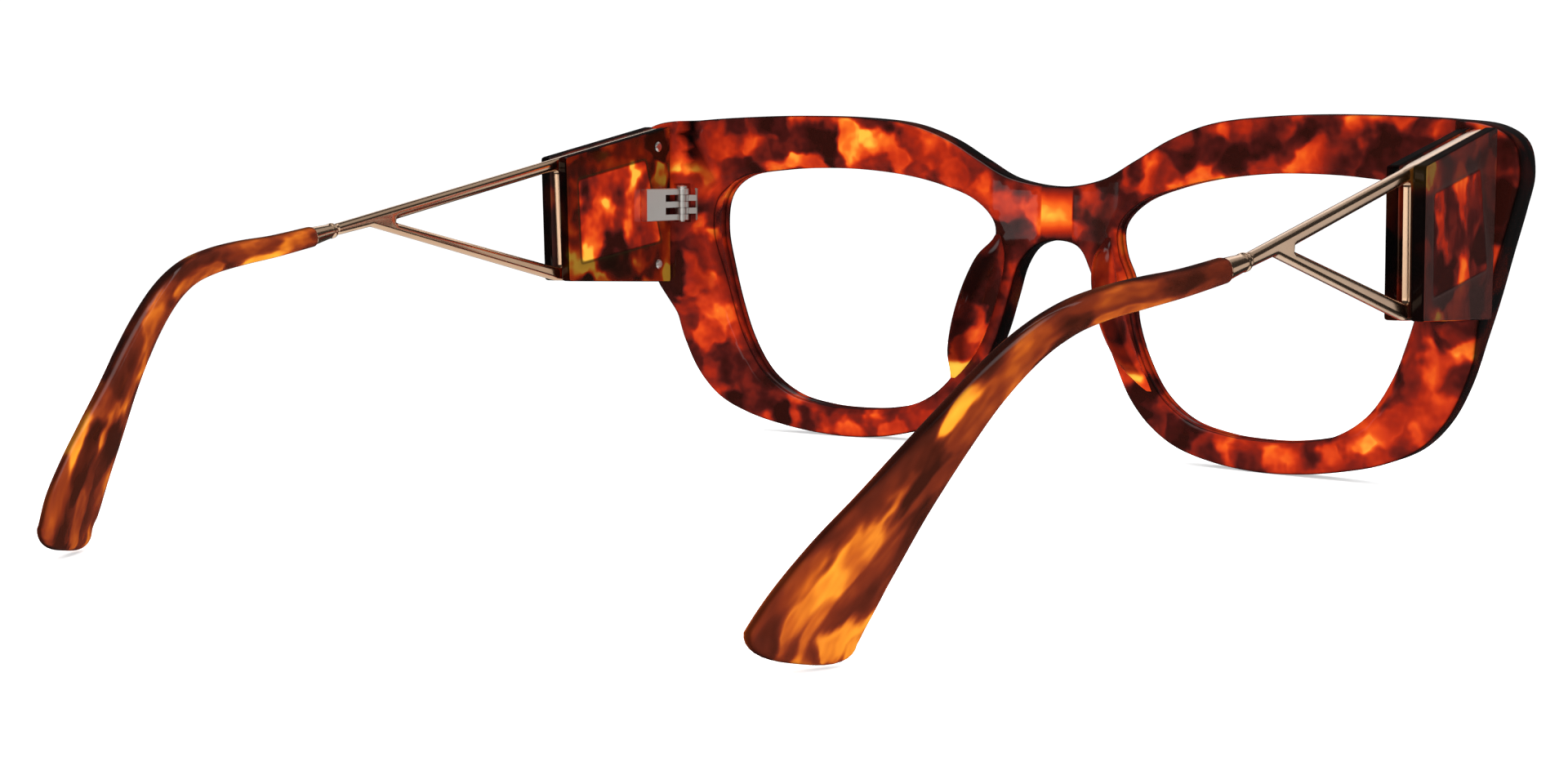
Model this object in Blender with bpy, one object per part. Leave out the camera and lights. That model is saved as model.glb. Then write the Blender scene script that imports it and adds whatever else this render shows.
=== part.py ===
"""Eyeglasses frame: acetate front and temples with open metal temple cores.

Run with: blender --background --python part.py
Built in metres from sizes in millimetres. +X is the wearer's right, +Y is forward, +Z is up, and
the frame stands open on its two lower rims and its two temple tips.
"""
import math

import bmesh
import bpy
from mathutils import Matrix, Vector

MM = 0.001
FRAME_CENTRE_Y = 74.81       # back of the bridge, forward of the middle of the frame's depth
TABLE_Z = -0.504             # height of the table that the rims and the tips stand on

# Front
FRONT_THICKNESS = 4.6
FRONT_EDGE_RADIUS = 0.6
FRONT_WRAP = 0.0024          # backward sweep of the front: y = -wrap * x^2 / 2
FRONT_TILT = 0.018           # forward lean of the front per millimetre of height
TILT_HEIGHT = 25.0           # height at which the lean is nil
STRIP_WIDTH = 6.0            # width of the flat strips that make up the curved front
STRIPS = 12                  # number of strips on each side
LENS_GROOVE_RADIUS = 0.6

# One half of the front's outline, from the middle of the bridge's top, round the outer corner and
# the lower rim, to the middle of the nose arch (x, z).
OUTLINE_HALF = [
    (0.0, 41.6), (7.9, 42.8), (13.8, 45.8), (19.8, 49.1), (26.9, 51.5), (36.0, 52.5), (46.0, 52.8),
    (56.0, 52.6), (65.0, 52.1), (71.6, 51.3), (75.4, 48.9), (76.4, 44.5), (75.5, 39.9), (73.8, 33.5),
    (72.1, 26.9), (70.3, 20.9), (68.5, 15.0), (65.7, 9.4), (61.6, 5.1), (56.2, 2.5), (50.1, 0.9),
    (43.0, -0.2), (36.0, -0.5), (28.9, 0.2), (22.3, 2.0), (17.5, 5.0), (14.0, 8.9), (11.7, 13.3),
    (9.5, 18.4), (7.8, 24.0), (6.3, 28.9), (3.9, 32.1), (0.0, 33.1)]
OPENING = [
    (13.0, 27.0), (13.6, 21.0), (15.6, 15.3), (18.9, 9.9), (23.8, 6.2), (30.0, 4.6), (36.0, 4.2),
    (42.0, 4.5), (48.2, 5.9), (53.4, 9.4), (57.0, 14.8), (59.3, 20.8), (61.0, 27.0), (62.3, 33.5),
    (61.6, 39.3), (57.8, 42.6), (51.0, 43.7), (43.5, 44.1), (36.0, 44.0), (28.0, 43.2), (21.0, 41.7),
    (14.8, 39.4), (11.1, 35.8), (11.2, 31.5)]

# End piece: the thick outer corner of the front, against which the temple closes.
BUTT_Y = -9.4                # its flat rear face
BUTT_X = 67.2                # where the slope up to that face ends
SLOPE_X = 60.5               # where the slope starts, below SLOPE_TOP_Z
SLOPE_TOP_Z = 40.0
SLOPE_LEAN = 0.6             # the slope's start moves out by this per millimetre above SLOPE_TOP_Z
BLOCK_Z = (19.0, 24.6)       # the end piece fades in between these heights

# Nose pad, from top to bottom: middle of its foot on the rim's back (x, z), reach behind the rim,
# and half width
PAD_ROUTE = [
    (9.6, 32.8, 1.0, 0.9), (9.5, 30.6, 3.6, 1.8), (9.9, 27.0, 5.4, 2.2), (10.9, 23.0, 6.0, 2.3),
    (12.3, 19.0, 5.6, 2.2), (14.2, 15.0, 4.0, 1.9), (16.4, 11.8, 1.2, 1.0)]
PAD_FLARE = 0.30             # how far a pad leans away from the nose for each millimetre of reach

# Temple sandwich: inner plate, metal core, outer plate, in x
CORE_X = 70.6
CORE_THICKNESS = 1.5
BOND_GAP = 0.1               # glue line between touching pieces
INNER_THICKNESS = 1.8
OUTER_THICKNESS = 1.9
PLATE_EDGE_RADIUS = 0.35
TEMPLE_FRONT_Y = BUTT_Y - 0.3
RAIL_SLOPE = 0.18
RAIL_TOP_Z = 51.0            # top of the rail at the temple's front end
RAIL_HEIGHT = 1.9
RAIL_INSET = 0.2             # the core's top edge lies this far below the plates'
STEM_HEIGHT = 1.7            # height of the single bar behind the triangle
PLATE_FOOT = [(TEMPLE_FRONT_Y, 24.7), (-36.6, 26.2)]       # plates' lower corners (y, z)
PLATE_REAR_TOP_Y = -37.2
CORE_FOOT = [(TEMPLE_FRONT_Y, 24.9), (-35.5, 26.2), (-37.5, 26.3), (-79.0, 36.4)]   # core's underside
# Core's windows behind the plates and behind them: lower corners (y, z), and the upper corners' y
# with their depth below the rail's top
WINDOW_FOOT = [(-12.3, 31.6), (-33.6, 28.9)]
WINDOW_TOP = [(-34.4, 4.0), (-16.5, 4.2)]
TRIANGLE_FOOT = [(-36.0, 28.2), (-74.9, 37.1)]
TRIANGLE_TOP_Y = -36.8
FERRULE_Y = -86.5
FERRULE_LENGTH = 5.0
FERRULE_RUN = (-0.10, -1.0, -0.15)
TENON_RADIUS = 0.7           # wire that runs on from the ferrule into the tip
TENON_LENGTH = 9.0

# Hinge: five knuckles about a vertical screw
HINGE_X = 66.0
HINGE_Y = -9.2
HINGE_Z = (35.2, 40.6)
KNUCKLES = 5
KNUCKLE_RADIUS = 1.2
SCREW_RADIUS = 0.55
RUNNING_GAP = 0.1
PIN_BORE = SCREW_RADIUS + RUNNING_GAP
LEAF_REACH = 8.8             # from the axis to the temple leaf's rear end
LEAF_ROOT = 4.3              # the temple leaf's knuckle slots run back this far from the axis
FRONT_LEAF_ROOT = 1.75       # and the front leaf's run forward this far
LEAF_FOOT = 4.6              # from the axis to the front leaf's end inside the end piece
LEAF_SPAN = (-1.9, 0.9)      # the front leaf's two sides, inboard and outboard of the axis
HINGE_CLEARANCE = 4.0        # the slot cutters reach this far past the axis

# Plate screws on the temple's inner face (y, z)
PLATE_SCREWS = {"upper": (-13.2, 47.6), "lower": (-13.2, 27.9)}
PLATE_SCREW_RADIUS = 0.55
PLATE_SCREW_HEAD = 0.85

# Temple tip behind its straight start: centre line (x, y, z), half height and half thickness
TIP_ROUTE = [
    (69.1, -99.5, 34.4, 1.55, 1.45), (68.2, -106.5, 33.8, 1.7, 1.55), (66.9, -113.0, 33.0, 1.75, 1.6),
    (65.5, -118.5, 31.7, 1.8, 1.65), (63.9, -123.5, 29.3, 1.95, 1.7), (62.1, -128.4, 25.6, 2.25, 1.7),
    (60.3, -133.0, 21.1, 2.75, 1.7), (58.4, -137.4, 16.3, 3.45, 1.7), (56.8, -141.4, 11.8, 4.3, 1.65),
    (55.4, -144.8, 8.0, 5.1, 1.6), (54.3, -147.4, 4.9, 5.8, 1.6), (53.6, -148.9, 2.7, 6.25, 1.55)]
TIP_SKEW_START = 10.0        # the sections start to lean towards level below this height
TIP_SKEW = 0.95
TIP_END_REACH = 2.6          # how far the rounded end runs past the last station

SIDES = {"left": -1, "right": 1}


def clear_scene():
    for thing in list(bpy.data.objects):
        bpy.data.objects.remove(thing, do_unlink=True)


def new_collection(name):
    collection = bpy.data.collections.new(name)
    bpy.context.scene.collection.children.link(collection)
    return collection


def material(name, colour, roughness, metallic=0.0):
    mat = bpy.data.materials.new(name)
    mat.use_nodes = True
    shader = mat.node_tree.nodes["Principled BSDF"]
    shader.inputs["Base Color"].default_value = (*colour, 1.0)
    shader.inputs["Roughness"].default_value = roughness
    shader.inputs["Metallic"].default_value = metallic
    mat.diffuse_color = (*colour, 1.0)
    return mat


def acetate(name, colour):
    return material(name, colour, 0.12)


def rose_gold(name):
    return material(name, (0.78, 0.52, 0.38), 0.22, 1.0)


def nickel(name):
    return material(name, (0.62, 0.60, 0.57), 0.28, 1.0)


def place(point):
    """World position, in metres, of a point given in millimetres from the bridge's back."""
    x, y, z = point
    return Vector((x, y + FRAME_CENTRE_Y, z - TABLE_Z)) * MM


def bend_y(x, z):
    """Y of the front's back face before the end pieces are added."""
    return FRONT_TILT * (z - TILT_HEIGHT) - FRONT_WRAP * x * x / 2


def end_piece(x, z):
    """How far the end piece stands out behind the rim at a point of the back face."""
    start = min(SLOPE_X + SLOPE_LEAN * max(0.0, z - SLOPE_TOP_Z), BUTT_X - 1.0)
    slope = min(1.0, max(0.0, (abs(x) - start) / (BUTT_X - start)))
    fade = min(1.0, max(0.0, (z - BLOCK_Z[0]) / (BLOCK_Z[1] - BLOCK_Z[0])))
    return slope * fade * (bend_y(x, z) - BUTT_Y)


def smooth_loop(points, steps, closed=True):
    """Points on a Catmull-Rom curve through the given points, of any number of values each."""
    count = len(points)
    spans = count if closed else count - 1
    loop = []
    for i in range(spans):
        if closed:
            corners = [points[(i + k) % count] for k in (-1, 0, 1, 2)]
        else:
            corners = [points[min(max(i + k, 0), count - 1)] for k in (-1, 0, 1, 2)]
        a, b, c, d = (Vector(corner) for corner in corners)
        for j in range(steps):
            t = j / steps
            loop.append(0.5 * (2 * b + (c - a) * t + (2 * a - 5 * b + 4 * c - d) * t ** 2
                               + (3 * b - a - 3 * c + d) * t ** 3))
    if not closed:
        loop.append(Vector(points[-1]))
    return loop


def rounded(corners, radius, steps=4):
    """A polygon's points with each corner turned into an arc."""
    count = len(corners)
    loop = []
    for i in range(count):
        here = Vector(corners[i])
        back = (Vector(corners[i - 1]) - here)
        ahead = (Vector(corners[(i + 1) % count]) - here)
        half = back.angle(ahead) / 2
        reach = min(radius / math.tan(half), 0.45 * back.length, 0.45 * ahead.length)
        start = here + back.normalized() * reach
        end = here + ahead.normalized() * reach
        for j in range(steps + 1):
            t = j / steps
            loop.append((1 - t) ** 2 * start + 2 * t * (1 - t) * here + t ** 2 * end)
    return loop


def circle(centre, radius, count=16):
    return [Vector((centre[0] + radius * math.cos(2 * math.pi * i / count),
                    centre[1] + radius * math.sin(2 * math.pi * i / count))) for i in range(count)]


def finish(mesh, name, mat, collection):
    """Put a mesh, welded, outward-facing and with its material, in a collection as one object."""
    work = bmesh.new()
    work.from_mesh(mesh)
    bmesh.ops.remove_doubles(work, verts=work.verts, dist=1e-6)
    bmesh.ops.recalc_face_normals(work, faces=work.faces)
    work.to_mesh(mesh)
    work.free()
    mesh.name = name
    mesh.materials.clear()
    if mat:
        mesh.materials.append(mat)
    thing = bpy.data.objects.new(name, mesh)
    collection.objects.link(thing)
    return thing


def extruded(loops, thickness, edge_radius, edge_steps=1):
    """Mesh, in millimetres, of closed loops in XY given a thickness along Z; inner loops are holes."""
    curve = bpy.data.curves.new("outline", "CURVE")
    curve.dimensions = "2D"
    curve.fill_mode = "BOTH"
    curve.render_resolution_u = 0
    curve.extrude = thickness / 2 - edge_radius
    curve.bevel_depth = edge_radius
    curve.bevel_resolution = edge_steps
    curve.offset = -edge_radius
    for loop in loops:
        spline = curve.splines.new("POLY")
        spline.points.add(len(loop) - 1)
        for point, here in zip(spline.points, loop):
            point.co = (here[0], here[1], 0.0, 1.0)
        spline.use_cyclic_u = True
    thing = bpy.data.objects.new("outline", curve)
    bpy.context.scene.collection.objects.link(thing)
    graph = bpy.context.evaluated_depsgraph_get()
    mesh = bpy.data.meshes.new_from_object(thing.evaluated_get(graph))
    bpy.data.objects.remove(thing, do_unlink=True)
    bpy.data.curves.remove(curve)
    return mesh


def tube(points, radius, name, collection, sides=1):
    """Closed ring of round section through points already in metres."""
    curve = bpy.data.curves.new(name, "CURVE")
    curve.dimensions = "3D"
    curve.render_resolution_u = 0
    curve.bevel_depth = radius * MM
    curve.bevel_resolution = sides
    spline = curve.splines.new("POLY")
    spline.points.add(len(points) - 1)
    for point, here in zip(spline.points, points):
        point.co = (*here, 1.0)
    spline.use_cyclic_u = True
    thing = bpy.data.objects.new(name, curve)
    bpy.context.scene.collection.objects.link(thing)
    graph = bpy.context.evaluated_depsgraph_get()
    mesh = bpy.data.meshes.new_from_object(thing.evaluated_get(graph))
    bpy.data.objects.remove(thing, do_unlink=True)
    bpy.data.curves.remove(curve)
    return finish(mesh, name, None, collection)


def box(name, low, high, collection):
    """Box between two corners given in millimetres from the bridge's back."""
    work = bmesh.new()
    bmesh.ops.create_cube(work, size=1.0)
    first, last = place(low), place(high)
    size = [abs(b - a) for a, b in zip(first, last)]
    bmesh.ops.scale(work, vec=size, verts=work.verts)
    bmesh.ops.translate(work, vec=(first + last) / 2, verts=work.verts)
    mesh = bpy.data.meshes.new(name)
    work.to_mesh(mesh)
    work.free()
    return finish(mesh, name, None, collection)


def rod(name, start, end, radius, mat, collection, segments=16):
    """Round rod between two points given in millimetres from the bridge's back."""
    first, last = place(start), place(end)
    span = last - first
    work = bmesh.new()
    bmesh.ops.create_cone(work, cap_ends=True, segments=segments, radius1=radius * MM,
                          radius2=radius * MM, depth=span.length)
    turn = Vector((0, 0, 1)).rotation_difference(span).to_matrix().to_4x4()
    work.transform(Matrix.Translation((first + last) / 2) @ turn)
    mesh = bpy.data.meshes.new(name)
    work.to_mesh(mesh)
    work.free()
    return finish(mesh, name, mat, collection)


def cut(thing, cutter):
    """Take one object away from another with a live modifier, its cutter hidden."""
    modifier = thing.modifiers.new(cutter.name, "BOOLEAN")
    modifier.operation = "DIFFERENCE"
    modifier.solver = "EXACT"
    modifier.object = cutter
    cutter.hide_render = True
    cutter.display_type = "WIRE"


def hang(thing, pivot):
    """Parent an object to a pivot without moving it, its origin on the pivot."""
    thing.data.transform(Matrix.Translation(-pivot.location))
    thing.parent = pivot


def on_temple_plane(mesh, x):
    """Turn a mesh made in XY as (y, z) outlines to stand in the plane of a temple at this x."""
    turn = Matrix(((0, 0, MM, 0), (MM, 0, 0, 0), (0, MM, 0, 0), (0, 0, 0, 1)))
    mesh.transform(Matrix.Translation(place((x, 0, 0))) @ turn)
    return mesh


def rail_top(y):
    return RAIL_TOP_Z + RAIL_SLOPE * (y - TEMPLE_FRONT_Y)


def front_loops(steps):
    """The front's outline and its two openings as (x, z) loops."""
    half = OUTLINE_HALF[1:-1]
    outline = [OUTLINE_HALF[0]] + half + [OUTLINE_HALF[-1]] + [(-x, z) for x, z in reversed(half)]
    openings = [smooth_loop([(side * x, z) for x, z in OPENING], steps) for side in (-1, 1)]
    return smooth_loop(outline, steps), openings


def make_front(collection, cutters):
    outline, openings = front_loops(3)
    mesh = extruded([outline] + openings, FRONT_THICKNESS, FRONT_EDGE_RADIUS, 2)
    work = bmesh.new()
    work.from_mesh(mesh)
    bmesh.ops.remove_doubles(work, verts=work.verts, dist=1e-4)
    for strip in range(-STRIPS, STRIPS + 1):
        split(work, (strip * STRIP_WIDTH, 0, 0), (1, 0, 0))
    for side in (-1, 1):
        split(work, (side * SLOPE_X, 0, 0), (1, 0, 0))
        split(work, (side * BUTT_X, 0, 0), (1, 0, 0))
        split(work, (side * SLOPE_X, SLOPE_TOP_Z, 0), (1, -side * SLOPE_LEAN, 0))
    for height in (*BLOCK_Z, SLOPE_TOP_Z):
        split(work, (0, height, 0), (0, 1, 0))
    bmesh.ops.remove_doubles(work, verts=work.verts, dist=0.02)
    bmesh.ops.triangulate(work, faces=work.faces)
    half = FRONT_THICKNESS / 2
    for vert in work.verts:
        x, z, depth = vert.co
        forward = depth + half
        back_share = 1 - forward / FRONT_THICKNESS
        y = bend_y(x, z) + forward - end_piece(x, z) * back_share
        vert.co = place((x, y, z))
    work.to_mesh(mesh)
    work.free()
    front = finish(mesh, "front", acetate("front acetate", (0.36, 0.07, 0.02)), collection)
    for name, opening in zip(("left", "right"), openings):
        middle = [place((x, bend_y(x, z) + FRONT_THICKNESS / 2, z)) for x, z in opening]
        cut(front, tube(middle, LENS_GROOVE_RADIUS, f"lens_groove_{name}", cutters))
    return front


def split(work, point, normal):
    geometry = work.verts[:] + work.edges[:] + work.faces[:]
    bmesh.ops.bisect_plane(work, geom=geometry, plane_co=point, plane_no=normal, dist=1e-4)


def lofted(name, stations, mat, collection, sides=20, power=2.4):
    """Closed body lofted through superellipse sections.

    Each station is (centre, across, up, half width, half height), in millimetres.
    """
    work = bmesh.new()
    rings = []
    for centre, across, up, half_width, half_height in stations:
        ring = []
        for k in range(sides):
            turn = 2 * math.pi * k / sides
            c, s = math.cos(turn), math.sin(turn)
            wide = half_width * math.copysign(abs(c) ** (2 / power), c)
            high = half_height * math.copysign(abs(s) ** (2 / power), s)
            ring.append(work.verts.new(place(centre + across * wide + up * high)))
        rings.append(ring)
    for first, last in zip(rings, rings[1:]):
        for k in range(sides):
            work.faces.new((first[k], first[(k + 1) % sides], last[(k + 1) % sides], last[k]))
    work.faces.new(reversed(rings[0]))
    work.faces.new(rings[-1])
    mesh = bpy.data.meshes.new(name)
    work.to_mesh(mesh)
    work.free()
    return finish(mesh, name, mat, collection)


def make_pad(side, sign, collection):
    """A nose pad: a rounded fin on the back of the rim, leaning away from the nose."""
    stations = []
    for x, z, reach, half_width in smooth_loop(list(reversed(PAD_ROUTE)), 2, closed=False):
        centre = Vector((sign * (x + PAD_FLARE * reach / 2), bend_y(x, z) - BOND_GAP - reach / 2, z))
        lean = Vector((-sign * PAD_FLARE, 1, 0))
        stations.append((centre, Vector((1, 0, 0)), lean, half_width, reach / 2))
    mat = acetate(f"nose pad {side}", (0.42, 0.10, 0.03))
    return lofted(f"nose_pad_{side}", stations, mat, collection)


def plate_outline():
    """Outline of both temple plates as (y, z)."""
    corners = [(TEMPLE_FRONT_Y, rail_top(TEMPLE_FRONT_Y)), *PLATE_FOOT,
               (PLATE_REAR_TOP_Y, rail_top(PLATE_REAR_TOP_Y))]
    return rounded(corners, 0.5, 2)


def core_loops():
    """The metal core's outline and its two windows as (y, z) loops."""
    stem_end = FERRULE_Y + BOND_GAP
    stem_top = rail_top(stem_end) - RAIL_INSET
    outline = [(TEMPLE_FRONT_Y, rail_top(TEMPLE_FRONT_Y) - RAIL_INSET), *CORE_FOOT,
               (stem_end, stem_top - STEM_HEIGHT), (stem_end, stem_top)]
    window = WINDOW_FOOT + [(y, rail_top(y) - depth) for y, depth in WINDOW_TOP]
    triangle = [(TRIANGLE_TOP_Y, rail_top(TRIANGLE_TOP_Y) - RAIL_INSET - RAIL_HEIGHT), *TRIANGLE_FOOT]
    return [rounded(outline, 0.4, 2), rounded(window, 0.8, 3), rounded(triangle, 0.5, 3)]


def make_temple_plates(side, sign, pivot, collection, cutters):
    """Inner and outer acetate plates and the metal core between them."""
    inner_x = CORE_X - CORE_THICKNESS / 2 - BOND_GAP - INNER_THICKNESS / 2
    outer_x = CORE_X + CORE_THICKNESS / 2 + BOND_GAP + OUTER_THICKNESS / 2
    inner_mesh = on_temple_plane(extruded([plate_outline()], INNER_THICKNESS, PLATE_EDGE_RADIUS),
                                 sign * inner_x)
    inner = finish(inner_mesh, f"temple_plate_inner_{side}",
                   acetate(f"inner plate {side}", (0.40, 0.09, 0.02)), collection)
    outer_mesh = on_temple_plane(extruded([plate_outline()], OUTER_THICKNESS, PLATE_EDGE_RADIUS),
                                 sign * outer_x)
    outer = finish(outer_mesh, f"temple_plate_outer_{side}",
                   acetate(f"outer plate {side}", (0.34, 0.06, 0.02)), collection)
    core_mesh = on_temple_plane(extruded(core_loops(), CORE_THICKNESS, 0.25), sign * CORE_X)
    core = finish(core_mesh, f"temple_core_{side}", rose_gold(f"temple core {side}"), collection)
    inner_face = inner_x - INNER_THICKNESS / 2
    core_far = CORE_X + CORE_THICKNESS / 2
    for level, (y, z) in PLATE_SCREWS.items():
        bore = rod(f"plate_screw_bore_{level}_{side}", (sign * (inner_face - 2), y, z),
                   (sign * (core_far + 0.05), y, z), PLATE_SCREW_RADIUS + RUNNING_GAP, None, cutters)
        cut(inner, bore)
        cut(core, bore)
        screw = turned(f"plate_screw_{level}_{side}",
                       [(0.0, -0.35), (PLATE_SCREW_HEAD * 0.7, -0.32), (PLATE_SCREW_HEAD, -0.12),
                        (PLATE_SCREW_HEAD, -0.05), (PLATE_SCREW_RADIUS, -0.05),
                        (PLATE_SCREW_RADIUS, 3.1), (0.0, 3.1)],
                       (sign * inner_face, y, z), (sign, 0, 0), nickel(f"plate screw {level} {side}"),
                       collection)
        slot_cutter = box(f"plate_screw_slot_{level}_{side}",
                          (sign * (inner_face - 0.5), y - 1.0, z - 0.13),
                          (sign * (inner_face - 0.2), y + 1.0, z + 0.13), cutters)
        cut(screw, slot_cutter)
        hang(screw, pivot)
    for thing in (inner, outer, core):
        hang(thing, pivot)


def turned(name, profile, origin, axis, mat, collection, steps=16):
    """Body turned about an axis: its profile is (radius, distance along the axis) in millimetres."""
    work = bmesh.new()
    verts = [work.verts.new((radius * MM, 0, along * MM)) for radius, along in profile]
    edges = [work.edges.new(pair) for pair in zip(verts, verts[1:])]
    bmesh.ops.spin(work, geom=verts + edges, cent=(0, 0, 0), axis=(0, 0, 1), angle=2 * math.pi,
                   steps=steps, use_duplicate=False, use_merge=True)
    turn = Vector((0, 0, 1)).rotation_difference(Vector(axis)).to_matrix().to_4x4()
    work.transform(Matrix.Translation(place(origin)) @ turn)
    mesh = bpy.data.meshes.new(name)
    work.to_mesh(mesh)
    work.free()
    return finish(mesh, name, mat, collection)


def hinge_slab(name, loops, sign, mat, collection):
    """Full-height slab of hinge metal; loops are (inboard to outboard, rear to front) from the axis."""
    low, high = HINGE_Z
    mesh = extruded(loops, high - low, 0.1, 0)
    centre = place((sign * HINGE_X, HINGE_Y, (low + high) / 2))
    turn = Matrix.Diagonal((sign * MM, MM, MM, 1))
    mesh.transform(Matrix.Translation(centre) @ turn)
    return finish(mesh, name, mat, collection)


def knuckle_outline(arm):
    """A barrel of the knuckle's radius joined to the arm's corners, given in order round the axis."""
    start = math.atan2(arm[-1][1], arm[-1][0])
    end = math.atan2(arm[0][1], arm[0][0])
    if end < start:
        end += 2 * math.pi
    steps = 14
    arc = [(KNUCKLE_RADIUS * math.cos(start + (end - start) * i / steps),
            KNUCKLE_RADIUS * math.sin(start + (end - start) * i / steps)) for i in range(steps + 1)]
    return [Vector(point) for point in arm[1:-1]] + [Vector(point) for point in arc]


def make_hinge(side, sign, pivot, front, collection, cutters):
    """Front leaf with two knuckles, temple leaf with three, and the screw through all five."""
    low, high = HINGE_Z
    step = (high - low) / KNUCKLES
    inner_face = CORE_X - CORE_THICKNESS / 2 - BOND_GAP - INNER_THICKNESS - HINGE_X
    bore = circle((0, 0), PIN_BORE)
    rear_arm = [(-0.2, -KNUCKLE_RADIUS), (0.6, -LEAF_REACH), (inner_face - BOND_GAP, -LEAF_REACH),
                (inner_face - BOND_GAP, -2.0), (1.0, 0.65)]
    temple_leaf = hinge_slab(f"hinge_temple_leaf_{side}", [knuckle_outline(rear_arm), bore], sign,
                             nickel(f"hinge temple leaf {side}"), collection)
    inboard, outboard = LEAF_SPAN
    front_arm = [(outboard, 0.8), (outboard, LEAF_FOOT), (inboard, LEAF_FOOT), (inboard, 1.7), (-1.1, 0.5)]
    front_leaf = hinge_slab(f"hinge_front_leaf_{side}", [knuckle_outline(front_arm), bore], sign,
                            nickel(f"hinge front leaf {side}"), collection)
    near_x, far_x = sign * (HINGE_X - HINGE_CLEARANCE), sign * (HINGE_X + HINGE_CLEARANCE)
    for level in range(KNUCKLES):
        bottom = low + step * level - (RUNNING_GAP / 2 if level else 1.0)
        top = low + step * (level + 1) + (RUNNING_GAP / 2 if level < KNUCKLES - 1 else 1.0)
        if level % 2:
            leaf, rear_y, fore_y = temple_leaf, HINGE_Y - LEAF_ROOT, HINGE_Y + HINGE_CLEARANCE
        else:
            leaf, rear_y, fore_y = front_leaf, HINGE_Y - HINGE_CLEARANCE, HINGE_Y + FRONT_LEAF_ROOT
        cut(leaf, box(f"leaf_slot_{level}_{side}", (near_x, rear_y, bottom), (far_x, fore_y, top), cutters))
    well = rod(f"hinge_well_{side}", (sign * HINGE_X, HINGE_Y, low - 0.3),
               (sign * HINGE_X, HINGE_Y, high + 0.8), KNUCKLE_RADIUS + 0.4, None, cutters, 24)
    pocket = box(f"hinge_pocket_{side}",
                 (sign * (HINGE_X + inboard - BOND_GAP), HINGE_Y - 1, low - BOND_GAP),
                 (sign * (HINGE_X + outboard + BOND_GAP), HINGE_Y + LEAF_FOOT + BOND_GAP, high + BOND_GAP),
                 cutters)
    cut(front, well)
    cut(front, pocket)
    screw = turned(f"hinge_screw_{side}",
                   [(0.0, -0.2), (SCREW_RADIUS, -0.2), (SCREW_RADIUS, high - low + 0.05),
                    (KNUCKLE_RADIUS * 0.8, high - low + 0.05), (KNUCKLE_RADIUS * 0.8, high - low + 0.35),
                    (KNUCKLE_RADIUS * 0.5, high - low + 0.5), (0.0, high - low + 0.5)],
                   (sign * HINGE_X, HINGE_Y, low), (0, 0, 1), nickel(f"hinge screw {side}"), collection)
    slot = box(f"hinge_screw_slot_{side}", (sign * (HINGE_X - 2), HINGE_Y - 0.13, high + 0.3),
               (sign * (HINGE_X + 2), HINGE_Y + 0.13, high + 1.0), cutters)
    cut(screw, slot)
    hang(temple_leaf, pivot)
    hang(screw, pivot)


def ferrule_axis(sign):
    """Where a side's ferrule starts, and its direction."""
    start = Vector((sign * CORE_X, FERRULE_Y, rail_top(FERRULE_Y) - RAIL_INSET - STEM_HEIGHT / 2))
    x, y, z = FERRULE_RUN
    return start, Vector((sign * x, y, z)).normalized()


def make_ferrule(side, sign, pivot, collection):
    """Cone that joins the metal stem to the acetate tip, with the wire that holds the tip."""
    start, run = ferrule_axis(sign)
    profile = [(0.0, 0.0), (1.0, 0.0), (1.12, 0.2), (1.12, 0.6), (1.0, 0.8), (1.32, FERRULE_LENGTH - 0.3),
               (1.28, FERRULE_LENGTH), (TENON_RADIUS, FERRULE_LENGTH),
               (TENON_RADIUS, FERRULE_LENGTH + TENON_LENGTH), (0.0, FERRULE_LENGTH + TENON_LENGTH)]
    ferrule = turned(f"ferrule_{side}", profile, start, run, rose_gold(f"ferrule {side}"), collection)
    hang(ferrule, pivot)


def make_tip(side, sign, pivot, collection, cutters):
    """Acetate temple tip, lofted down its bent centre line and rounded at its end."""
    start, run = ferrule_axis(sign)
    start += run * (FERRULE_LENGTH + BOND_GAP)
    route = [(*start, 1.45, 1.4)]
    route += [(sign * x, y, z, height, width) for x, y, z, height, width in TIP_ROUTE]
    points = smooth_loop(route, 3, closed=False)
    stations = []
    for i, row in enumerate(points):
        centre = Vector(row[:3])
        ahead = Vector(points[min(i + 1, len(points) - 1)][:3])
        behind = Vector(points[max(i - 1, 0)][:3])
        heading = (ahead - behind).normalized()
        across = Vector((0, 0, 1)).cross(heading).normalized()
        level = Vector((heading.x, heading.y, 0)).normalized()
        lean = TIP_SKEW * min(1.0, max(0.0, (TIP_SKEW_START - centre.z) / TIP_SKEW_START))
        up = heading.cross(across).normalized().lerp(level, lean).normalized()
        stations.append((centre, across, up, row[4], row[3]))
    centre, across, up, width, height = stations[-1]
    end_run = across.cross(up).normalized()
    for turn in (30, 55, 75, 87):
        share = math.cos(math.radians(turn))
        reach = TIP_END_REACH * math.sin(math.radians(turn))
        stations.append((centre + end_run * reach, across, up, width * share ** 0.7,
                         height * share ** 0.35))
    tip = lofted(f"temple_tip_{side}", stations, acetate(f"temple tip {side}", (0.62, 0.24, 0.04)),
                 collection)
    bore = rod(f"tip_bore_{side}", start - run, start + run * (TENON_LENGTH + 0.5),
               TENON_RADIUS + RUNNING_GAP, None, cutters)
    cut(tip, bore)
    hang(tip, pivot)


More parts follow.
